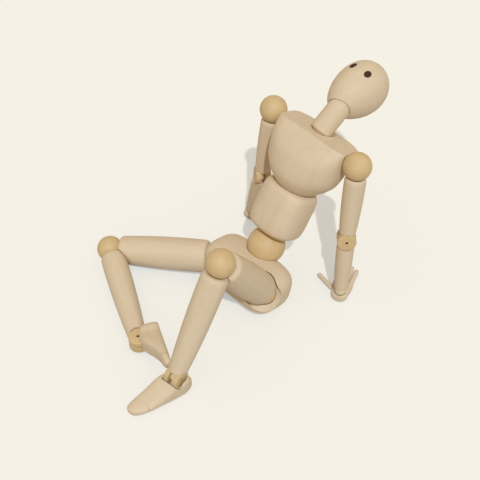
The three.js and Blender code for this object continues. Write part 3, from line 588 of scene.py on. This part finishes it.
# Head: an egg, wide at the crown, with two inlaid oval eyes
def makeHead():
    h = headShape
    half = h["length"] / 2
    profile = []
    for i in range(49):
        angle = math.pi * i / 48
        height = -half * math.cos(angle)
        lean = 1 + h["lean"] * height / half
        profile.append((max(0.0, h["width"] / 2 * h["slim"] * math.sin(angle) * lean), height))
    bm = moved(turned(profile, 80), Matrix.Diagonal((1, h["depth"] / h["width"], 1, 1)))
    obj = objectFrom(bm, headPlace, "head_turned")
    room = neckShape["radius"] + fit["clearance"]
    carve(obj, ballShape(room, 64), Matrix.Translation(neckTop))
    hole = rod(room - neckShape["holeTrim"], 0, neckShape["rise"] + neckShape["holePast"], 64)
    carve(obj, hole, neckPlace)
    e = eyeShape

    def oval(extra):
        grow = Matrix.Diagonal((e["half"][0] + extra, e["half"][1] + extra, e["half"][2] + extra, 1))
        return moved(ballShape(1, 40), grow)

    height = e["rise"] * h["length"]
    wide = h["width"] / 2 * math.sin(math.acos(-height / half))
    deep = h["depth"] / 2 * math.sqrt(1 - (e["spacing"] / wide) ** 2) * (wide / (h["width"] / 2))
    for side, sign in sides.items():
        slope = sign * math.atan2(e["spacing"] * h["depth"] ** 2, deep * h["width"] ** 2)
        spotIn = Matrix.Translation(Vector((sign * e["spacing"], -deep * e["inset"], height)) * mm)
        place = headPlace @ spotIn @ Matrix.Rotation(slope, 4, "Z")
        carve(obj, oval(e["gap"]), place)
        eye = objectFrom(oval(0), place, "eye_" + side + "_inlay")
        settle(eye, place, "head", ["eye_" + side], darkEye)
    settlePale(obj, headPlace, "head")


makeHead()
print("neck and head made")


# Slotted drum of an elbow or ankle; its frame has X along the pin and Z along the limb
def makeDrum(name, place, body):
    r, half, soft = drum["radius"], drum["half"], drum["round"]
    edge = rim(-half, r, soft, soft, 5)
    profile = [(0, -half)] + edge + flipped(edge, 0) + [(0, half)]
    obj = objectFrom(moved(turned(profile, 64), acrossX), place, name + "_turned")
    stemTop = -drum["slotDepth"] - drum["stemTop"]
    carve(obj, rod(drum["stem"], -drum["stemDepth"], stemTop, 32), place, "UNION")
    wide = r + 1
    carve(obj, box((-drum["slot"], -wide, -drum["slotDepth"]), (drum["slot"], wide, wide)), place)
    carve(obj, moved(rod(drum["pinHole"], -half - 1, half + 1, 24), acrossX), place)
    settle(obj, place @ acrossX, body, [name], tanWood, finish["crisp"])


# Steel pin through a drum, a little below its faces
def makePin(name, place, body):
    end = drum["half"] - drum["pinSink"]
    soft = drum["pinRound"]
    edge = rim(-end, drum["pin"], soft, soft, 3)
    profile = [(0, -end)] + edge + flipped(edge, 0) + [(0, end)]
    obj = objectFrom(moved(turned(profile, 24), acrossX), place, name + "_turned")
    settle(obj, place @ acrossX, body, [name], darkSteel)


# Cutter for the round seat of a drum in the end of a limb
def saddle():
    half = drum["saddleHalf"]
    return moved(rod(drum["radius"] + fit["clearance"], -half, half, 64), acrossX)


# Flat tongue that works in a drum's slot, running out along +Z
def addTongue(obj, place, reach):
    half = drum["tongueRadius"] * drum["tongueShare"]
    thick = drum["tongue"]
    thin = thick * drum["tongueThin"]
    hole = drum["pinHoleHalf"]
    carve(obj, moved(rod(drum["tongueRadius"], -thick, thick, 48), acrossX), place, "UNION")
    carve(obj, box((-thin, -half, 0), (thin, half, reach)), place, "UNION")
    carve(obj, moved(rod(drum["pinHole"], -hole, hole, 24), acrossX), place)


# How far from a drum's pin a limb of this radius ends
def drumEnd(radius):
    seat = drum["radius"] + fit["clearance"]
    return math.sqrt(seat ** 2 - (radius - drum["seatIn"]) ** 2) + drum["seatGap"]


stem = drum["stem"] + fit["clearance"]
reach = fit["ball"] + fit["boreDepth"]
cordReach = reach - cordShape["short"]


# Outline of a limb with a ball's cup at its top and the hole for a drum's stem at its end
def drumLimb(limb):
    length, soft = limb["length"], limb["soft"]
    end = length - drumEnd(limb["end"])
    deep = length - drum["stemDepth"] - fit["clearance"]
    top = cup(limb["top"])
    bottom = flipped(rim(length - end, limb["end"], soft * fit["softShare"], soft, 5), length)
    heights = (top[-1][1], length * limb["midAt"], bottom[0][1])
    body = swell(heights, (limb["top"], limb["mid"], limb["end"]), limb["steps"])
    bore = [(0, reach), (fit["bore"], reach)]
    return bore + top + body + bottom + [(stem, end), (stem, deep), (0, deep)]


upperArm = {"length": 45.4, "top": 5.7, "mid": 5.62, "midAt": 0.42, "end": 4.5, "soft": 0.9, "steps": 24}
forearm = {"length": 35.4, "top": 4.8, "mid": 4.65, "midAt": 0.45, "end": 3.7, "soft": 0.9, "steps": 20,
           "wrist": 3.4, "edge": (0.35, 1.0), "edgeGap": 0.2, "knobArc": (-24, 80), "cordOut": 1.9,
           "cordCross": (-1.4, 1.6)}


# Outline of a forearm: a drum's seat at its top, and a round knob with a bore at the wrist
def forearmOutline():
    f = forearm
    start = drumEnd(f["top"])
    across, long = f["edge"]
    join = math.sqrt(f["wrist"] ** 2 - (f["wrist"] - across) ** 2)
    first = rim(start, f["top"], f["soft"] * fit["softShare"], f["soft"], 5)
    last = flipped(rim(join + f["edgeGap"], f["end"], across, long, 4), f["length"])
    heights = (first[-1][1], f["length"] * f["midAt"], last[0][1])
    body = swell(heights, (f["top"], f["mid"], f["end"]), f["steps"])
    circle = arc(f["length"], f["wrist"], *f["knobArc"], 14)
    knob = [point for point in circle if point[0] >= fit["bore"]]
    deep = f["length"] - fit["boreDepth"]
    cap = f["length"] + math.sqrt(f["wrist"] ** 2 - fit["bore"] ** 2)
    bore = [(fit["bore"], cap), (fit["bore"], deep), (0, deep)]
    return [(0, start)] + first + body + last + knob + bore


# Arm: shoulder ball, upper arm with its drum and pin, forearm with its tongue, and cords
def makeArm(side):
    shoulder, elbow, wrist = shoulders[side], spot(side + "_elbow"), spot(side + "_wrist")
    along = (elbow - shoulder).normalized()
    down = (wrist - elbow).normalized()
    pinWay = axis(side + "_elbow") * sides[side]
    inward = column(torso, 0) * -sides[side]
    ball, upper, lower = side + "_shoulder_ball", side + "_upper_arm", side + "_forearm"
    makeBall(ball, shoulder, fit["ball"], [inward, along], along)

    place = placing(shoulder, along, pinWay)
    elbowPlace = placing(elbow, along, pinWay)
    obj = objectFrom(turned(drumLimb(upperArm), 64), place, upper + "_turned")
    carve(obj, saddle(), elbowPlace)
    settlePale(obj, place, upper)
    makeDrum(side + "_elbow_drum", elbowPlace, upper)
    makePin(side + "_elbow_pin", elbowPlace, upper)

    place = placing(elbow, down, column(elbowPlace, 0))
    obj = objectFrom(turned(forearmOutline(), 56), place, lower + "_turned")
    carve(obj, saddle(), place)
    addTongue(obj, place, drumEnd(forearm["top"]) + drum["tongueRoot"])
    settlePale(obj, place, lower)

    cord = side + "_shoulder_cord"
    ballCord(cord + "_in", shoulder, inward, cordReach, cord)
    ballCord(cord + "_out", shoulder, along, cordReach, cord)
    cord = side + "_wrist_cord"
    start = wrist - down * (fit["boreDepth"] - cordShape["short"]) * mm
    end = wrist + down * (forearm["wrist"] + forearm["cordOut"]) * mm
    stringCord(cord + "_run", start, end, [cord])
    return wrist


palmShape = {"length": 9.6, "half": 5.8, "thick": 5.4, "top": -0.36}
fingerShape = {"radius": 1.4, "body": 0.985, "taper": 0.05, "tip": 0.92, "knuckles": (0.42, 0.7),
               "groove": 0.8, "grooveStep": 0.16, "grooveSpread": 1.2, "seat": 0.25}
fingerLengths = {"index_finger": 12.2, "middle_finger": 13.4, "ring_finger": 12.6, "little_finger": 11.2,
                 "thumb": 12.0}
forwards = Matrix(((1, 0, 0, 0), (0, 0, -1, 0), (0, 1, 0, 0), (0, 0, 0, 1)))


# Outline of a finger: round at both ends, with a soft groove at each of its two knuckles
def fingerOutline(length):
    f = fingerShape
    r = f["radius"]
    profile = arc(0, r, -90, 0, 12)
    for share in f["knuckles"]:
        for step in range(-3, 4):
            depth = (1 - f["groove"]) * math.exp(-(step / f["grooveSpread"]) ** 2)
            radius = r * (f["body"] - f["taper"] * share - depth)
            profile.append((radius, share * length + f["grooveStep"] * step))
    tip = r * f["tip"]
    return profile + arc(length - tip, tip, 0, 90, 12)


# Hand: palm flat on the floor, cupped for the wrist, with a seat for each finger and the thumb
def makeHand(side, wrist):
    p = palmShape
    place = placing(wrist, Vector((0, 0, 1)), axis(side + "_wrist"))
    top = forearm["wrist"] * p["top"]
    bottom = top - p["thick"]
    shape = [(-0.375, 0.3, 0.45, 2.1), (-0.36, 0.44, 0.62, 2.2), (-0.32, 0.62, 0.85, 2.4),
             (-0.18, 0.76, 1, 2.6), (0.12, 0.84, 1, 2.7), (0.55, 0.98, 0.76, 2.8),
             (0.9, 1, 0.62, 2.8), (0.975, 0.97, 0.57, 2.7), (1, 0.9, 0.48, 2.6)]
    rows = []
    for share, half, thick, n in shape:
        deep = thick * p["thick"] / 2
        rows.append([share * p["length"], 0, bottom + deep, half * p["half"], deep, n])
    bm = stacked(finer(rows, 5), 64)
    obj = objectFrom(moved(bm, forwards), place, side + "_palm_block")
    carve(obj, ballShape(forearm["wrist"] + fit["clearance"], 48), Matrix.Translation(wrist))
    for finger, length in fingerLengths.items():
        name = side + "_" + finger
        foot = spot(name + "_lift")
        out = Vector((0, 0, 1)).cross(axis(name + "_lift"))
        fingerPlace = placing(foot, out, Vector((0, 0, 1)))
        fingerObj = objectFrom(turned(fingerOutline(length), 32), fingerPlace, name + "_turned")
        settlePale(fingerObj, fingerPlace, name, finish["smooth"])
        carve(obj, ballShape(fingerShape["radius"] + fingerShape["seat"], 32), Matrix.Translation(foot))
    settlePale(obj, place @ forwards, side + "_palm")


for side in sides:
    makeHand(side, makeArm(side))
print("arms made")

thigh = {"length": 65.6, "top": 9.3, "mid": 9.5, "midAt": 0.4, "end": 8.1, "steps": 28}
shin = {"length": 67.2, "top": 7.1, "mid": 7.05, "midAt": 0.36, "end": 5.0, "soft": 0.9, "steps": 28}
foldSpare = math.radians(1.6)  # kept between the folded thigh and shin, on each side
footShape = {"ahead": 25.8, "behind": 6.8, "half": 6.5, "ankle": 12.2, "trim": 0.45, "toeIn": 20.0,
             "pocket": 5.3, "seamAt": 0.61, "seamRadius": 0.148,
             "up": {"left": (0, 0, 1), "right": (-0.471, -0.882, 0)}}


# Outline of a thigh, with a ball's cup and a bore at both ends
def thighOutline():
    t = thigh
    top, bottom = cup(t["top"]), flipped(cup(t["end"]), t["length"])
    heights = (top[-1][1], t["length"] * t["midAt"], bottom[0][1])
    body = swell(heights, (t["top"], t["mid"], t["end"]), t["steps"])
    far = t["length"] - reach
    return [(0, reach), (fit["bore"], reach)] + top + body + bottom + [(fit["bore"], far), (0, far)]


# Flat at the back of a knee, so that the folded limbs clear each other
def relief(knee, way, other, bendAxis, halfFold):
    back = (other - way * other.dot(way)).normalized()
    slant = way * math.cos(halfFold) + back * math.sin(halfFold)
    place = placing(knee, slant, bendAxis)
    far = 20  # past the limb on every side
    inner = far if column(place, 1).dot(back) > 0 else -far
    return box((-far, min(0, inner), -far), (far, max(0, inner), 2 * far)), place


# Leg: hip ball, thigh, knee ball, shin with its drum and pin, cords, and the foot
def makeLeg(side):
    sign = sides[side]
    hip, knee, ankle = hips[side], knees[side], spot(side + "_ankle")
    thighWay, shinWay = (knee - hip).normalized(), (ankle - knee).normalized()
    kneeWay = thighWay.cross(shinWay).normalized()
    halfFold = (math.pi - thighWay.angle(shinWay)) / 2 - foldSpare
    out = Vector(pelvisShape["socketOut"])
    inward = pelvisPlace.to_3x3() @ Vector((-out.x * sign, -out.y, -out.z)).normalized()
    hipBall, upper, kneeBall, lower = [side + end for end in ("_hip_ball", "_thigh", "_knee_ball", "_shin")]
    makeBall(hipBall, hip, fit["ball"], [thighWay, inward], thighWay)

    place = placing(hip, thighWay, kneeWay)
    obj = objectFrom(turned(thighOutline(), 72), place, upper + "_turned")
    carve(obj, *relief(knee, -thighWay, shinWay, kneeWay, halfFold))
    settlePale(obj, place, upper)
    makeBall(kneeBall, knee, fit["ball"], [-thighWay, shinWay], kneeWay)

    pinWay = axis(side + "_ankle")
    place = placing(knee, shinWay, pinWay)
    anklePlace = placing(ankle, shinWay, pinWay)
    obj = objectFrom(turned(drumLimb(shin), 64), place, lower + "_turned")
    carve(obj, *relief(knee, shinWay, -thighWay, kneeWay, halfFold))
    carve(obj, saddle(), anklePlace)
    settlePale(obj, place, lower)
    makeDrum(side + "_ankle_drum", anklePlace, lower)
    makePin(side + "_ankle_pin", anklePlace, lower)

    cord = side + "_hip_cord"
    ballCord(cord + "_in", hip, inward, fit["ball"] + pelvisShape["cordDepth"], cord)
    ballCord(cord + "_out", hip, thighWay, cordReach, cord)
    cord = side + "_knee_cord"
    ballCord(cord + "_up", knee, -thighWay, cordReach, cord)
    ballCord(cord + "_down", knee, shinWay, cordReach, cord)
    makeFoot(side, ankle, pinWay)


# Room for the ankle's drum in a foot: round ahead of the pin, open above and behind it
def anklePocket(half, radius):
    bm = bmesh.new()
    above, behind = 20, 40  # past the foot
    outline = [(-radius, above), (behind, above), (behind, -radius)]
    for i in range(17):
        turn = math.radians(-90 - 90 * i / 16)
        outline.append((radius * math.cos(turn), radius * math.sin(turn)))
    face = bm.faces.new([bm.verts.new((-half, y, z)) for y, z in outline])
    grown = bmesh.ops.extrude_face_region(bm, geom=[face])["geom"]
    corners = [part for part in grown if isinstance(part, bmesh.types.BMVert)]
    bmesh.ops.translate(bm, vec=(2 * half, 0, 0), verts=corners)
    bmesh.ops.recalc_face_normals(bm, faces=bm.faces)
    return bm


# Foot and toe, split by a round seam; X is across, Y behind; the cutters reach past the foot
def makeFoot(side, ankle, pinWay):
    f = footShape
    place = placing(ankle, Vector(f["up"][side]), pinWay)
    sole = -f["ankle"] - f["trim"]
    ahead, behind, w = f["ahead"], f["behind"], f["half"]
    shape = [(-behind - 0.12, 0.28, -6.4, 2.3), (-behind, 0.5, -5, 2.4), (-behind + 0.5, 0.72, -3.2, 2.8),
             (-behind * 0.75, 0.92, -1.8, 3.8), (-behind * 0.4, 1, -0.9, 4.5), (ahead * 0.15, 1, -0.7, 4.5),
             (ahead * 0.3, 1, -2.3, 3.8), (ahead * 0.52, 0.94, -5.4, 3), (ahead * 0.74, 0.84, -7.5, 2.6),
             (ahead * 0.9, 0.66, -8.3, 2.5), (ahead * 0.97, 0.47, -8.9, 2.4), (ahead, 0.26, -9.8, 2.3)]
    rows = [[along, 0, (sole + top) / 2, half * w, (top - sole) / 2, n] for along, half, top, n in shape]
    rows = finer(rows, 5)
    for row in rows:
        row[1] = -sides[side] * max(0, row[0]) * math.tan(math.radians(f["toeIn"]))
    seamRadius = ahead * f["seamRadius"]
    seamY = -ahead * f["seamAt"]
    seamPlace = placing(spot(side + "_toe_lift"), column(place, 0), column(place, 1))

    def whole(name):
        obj = objectFrom(moved(stacked(rows, 64), forwards), place, name)
        return carve(obj, box((-40, -60, sole - 5), (40, 60, -f["ankle"])), place)

    foot = whole(side + "_foot_block")
    front = objectFrom(box((-30, -60, -30), (30, seamY, 30)), place, "front")
    carve(front, rod(seamRadius, -40, 40, 72), seamPlace)
    cutter = bmesh.new()
    cutter.from_mesh(front.data)
    spent = front.data
    bpy.data.objects.remove(front)
    bpy.data.meshes.remove(spent)
    carve(foot, cutter, Matrix.Scale(1000, 4))
    carve(foot, anklePocket(f["pocket"], drum["radius"] + fit["clearance"]), place)
    downPlace = place @ Matrix.Rotation(math.pi, 4, "X")
    addTongue(foot, downPlace, drum["radius"] + drum["tongueRoot"])
    settlePale(foot, place @ forwards, side + "_foot")

    toe = whole(side + "_toe_block")
    carve(toe, box((-30, seamY, -30), (30, 40, 30)), place)
    carve(toe, rod(seamRadius + fit["clearance"], -40, 40, 72), seamPlace)
    settlePale(toe, place @ forwards, side + "_toe")


for side in sides:
    makeLeg(side)
print("legs made")

# Cords of the waist and neck: how far each runs along its axis, and where it crosses its joint
trunkCord = {"below": 6.6, "split": 22, "top": 40.1, "ballStart": 4, "chestCross": (7, 12), "neckSplit": 4,
             "neckLow": 14.6, "neckHigh": 12.75, "neckCross": (10, 14), "headCross": (8, 12)}
waistLow = waist - upTorso * (fit["waistBall"] + trunkCord["below"]) * mm
waistSplit = waist + upTorso * trunkCord["split"] * mm
waistTop = waist + upTorso * trunkCord["top"] * mm
stringCord("waist_cord_low", waist, waistLow, ["waist_cord"])
stringCord("waist_cord_mid", waist, waistSplit, ["waist_cord"])
stringCord("waist_cord_high", waistSplit, waistTop, ["waist_cord"])
neckSplit = neckTop - neckAxis * trunkCord["neckSplit"] * mm
neckLow = neckFoot - neckAxis * trunkCord["neckLow"] * mm
neckHigh = neckTop + neckAxis * trunkCord["neckHigh"] * mm
stringCord("neck_cord_low", neckSplit, neckLow, ["neck_cord"])
stringCord("neck_cord_high", neckSplit, neckHigh, ["neck_cord"])
print("cords strung")

# Floor and light
floorLook = {"size": 6.0, "colour": (0.887, 0.761, 0.561), "bounce": 0.5, "lift": 0.3,
             "glow": (0.8, 0.905, 1.0), "glowStrength": 1.436, "far": (0.922, 0.88, 0.783)}
lightLook = {"from": (0.79, -0.613), "elevation": 57.0, "sun": (0.87, 1.02, 1.25), "strength": 1.8,
             "angle": 1.2, "sky": (0.512, 0.43, 0.296)}
floorMesh = bmesh.new()
bmesh.ops.create_grid(floorMesh, x_segments=4, y_segments=4, size=floorLook["size"] / 2 / mm)
floor = objectFrom(floorMesh, Matrix.Identity(4), "floor")
floorMaterial, floorTree, floorShader = plainMaterial("floorCream")
floorShader.inputs["Base Color"].default_value = (*floorLook["colour"], 1)
floorShader.inputs["Roughness"].default_value = 1.0
floorShader.inputs["Specular IOR Level"].default_value = 0.0
floorGlow = node(floorTree, "ShaderNodeEmission", Color=(*floorLook["glow"], 1),
                 Strength=floorLook["glowStrength"])
floorMix = node(floorTree, "ShaderNodeMixShader", Fac=floorLook["lift"])
floorTree.links.new(floorShader.outputs["BSDF"], floorMix.inputs[1])
floorTree.links.new(floorGlow.outputs["Emission"], floorMix.inputs[2])


# True for rays from the camera, straight or by a reflection
def seenRay(tree):
    path = tree.nodes.new("ShaderNodeLightPath")
    first = tree.nodes.new("ShaderNodeMath")
    first.operation = "MAXIMUM"
    tree.links.new(path.outputs["Is Camera Ray"], first.inputs[0])
    tree.links.new(path.outputs["Is Glossy Ray"], first.inputs[1])
    both = tree.nodes.new("ShaderNodeMath")
    both.operation = "MAXIMUM"
    tree.links.new(first.outputs["Value"], both.inputs[0])
    tree.links.new(path.outputs["Is Transmission Ray"], both.inputs[1])
    return both.outputs["Value"]


floorBounce = node(floorTree, "ShaderNodeBsdfDiffuse", Color=(floorLook["bounce"],) * 3 + (1,))
floorPick = floorTree.nodes.new("ShaderNodeMixShader")
floorTree.links.new(seenRay(floorTree), floorPick.inputs["Fac"])
floorTree.links.new(floorBounce.outputs["BSDF"], floorPick.inputs[1])
floorTree.links.new(floorMix.outputs["Shader"], floorPick.inputs[2])
floorTree.links.new(floorPick.outputs["Shader"], floorTree.nodes["Material Output"].inputs["Surface"])
floor.data.materials.append(floorMaterial)

sunData = bpy.data.lights.new("sun", "SUN")
sunData.energy = lightLook["strength"]
sunData.color = lightLook["sun"]
sunData.angle = math.radians(lightLook["angle"])
sun = bpy.data.objects.new("sun", sunData)
bpy.context.scene.collection.objects.link(sun)
flat = Vector((*lightLook["from"], 0)).normalized()
rise = math.radians(lightLook["elevation"])
toLight = flat * math.cos(rise) + Vector((0, 0, math.sin(rise)))
sun.rotation_euler = toLight.to_track_quat("Z", "Y").to_euler()

world = bpy.data.worlds.new("studio")
bpy.context.scene.world = world
world.use_nodes = True
worldTree = world.node_tree
soft = worldTree.nodes["Background"]
soft.inputs["Color"].default_value = (*lightLook["sky"], 1)
soft.inputs["Strength"].default_value = 1.0
seen = node(worldTree, "ShaderNodeBackground", Color=(*floorLook["far"], 1), Strength=1.0)
pick = worldTree.nodes.new("ShaderNodeMixShader")
worldTree.links.new(seenRay(worldTree), pick.inputs["Fac"])
worldTree.links.new(soft.outputs["Background"], pick.inputs[1])
worldTree.links.new(seen.outputs["Background"], pick.inputs[2])
worldTree.links.new(pick.outputs["Shader"], worldTree.nodes["World Output"].inputs["Surface"])

# Camera, from the photograph's perspective
cameraLook = {"target": (7.346, 3.935, 30.767), "to": (0.465, -0.471, 0.7496), "distance": 477.18,
              "lens": 64.84, "sensor": 36.0, "near": 0.01}
cameraData = bpy.data.cameras.new("camera")
cameraData.lens = cameraLook["lens"]
cameraData.sensor_width = cameraLook["sensor"]
cameraData.clip_start = cameraLook["near"]
camera = bpy.data.objects.new("camera", cameraData)
bpy.context.scene.collection.objects.link(camera)
toCamera = Vector(cameraLook["to"]).normalized()
camera.location = (Vector(cameraLook["target"]) + toCamera * cameraLook["distance"]) * mm
camera.rotation_euler = toCamera.to_track_quat("Z", "Y").to_euler()
bpy.context.scene.camera = camera
bpy.context.scene.view_settings.view_transform = "Standard"
print("light and camera set, pieces", pieceCount)
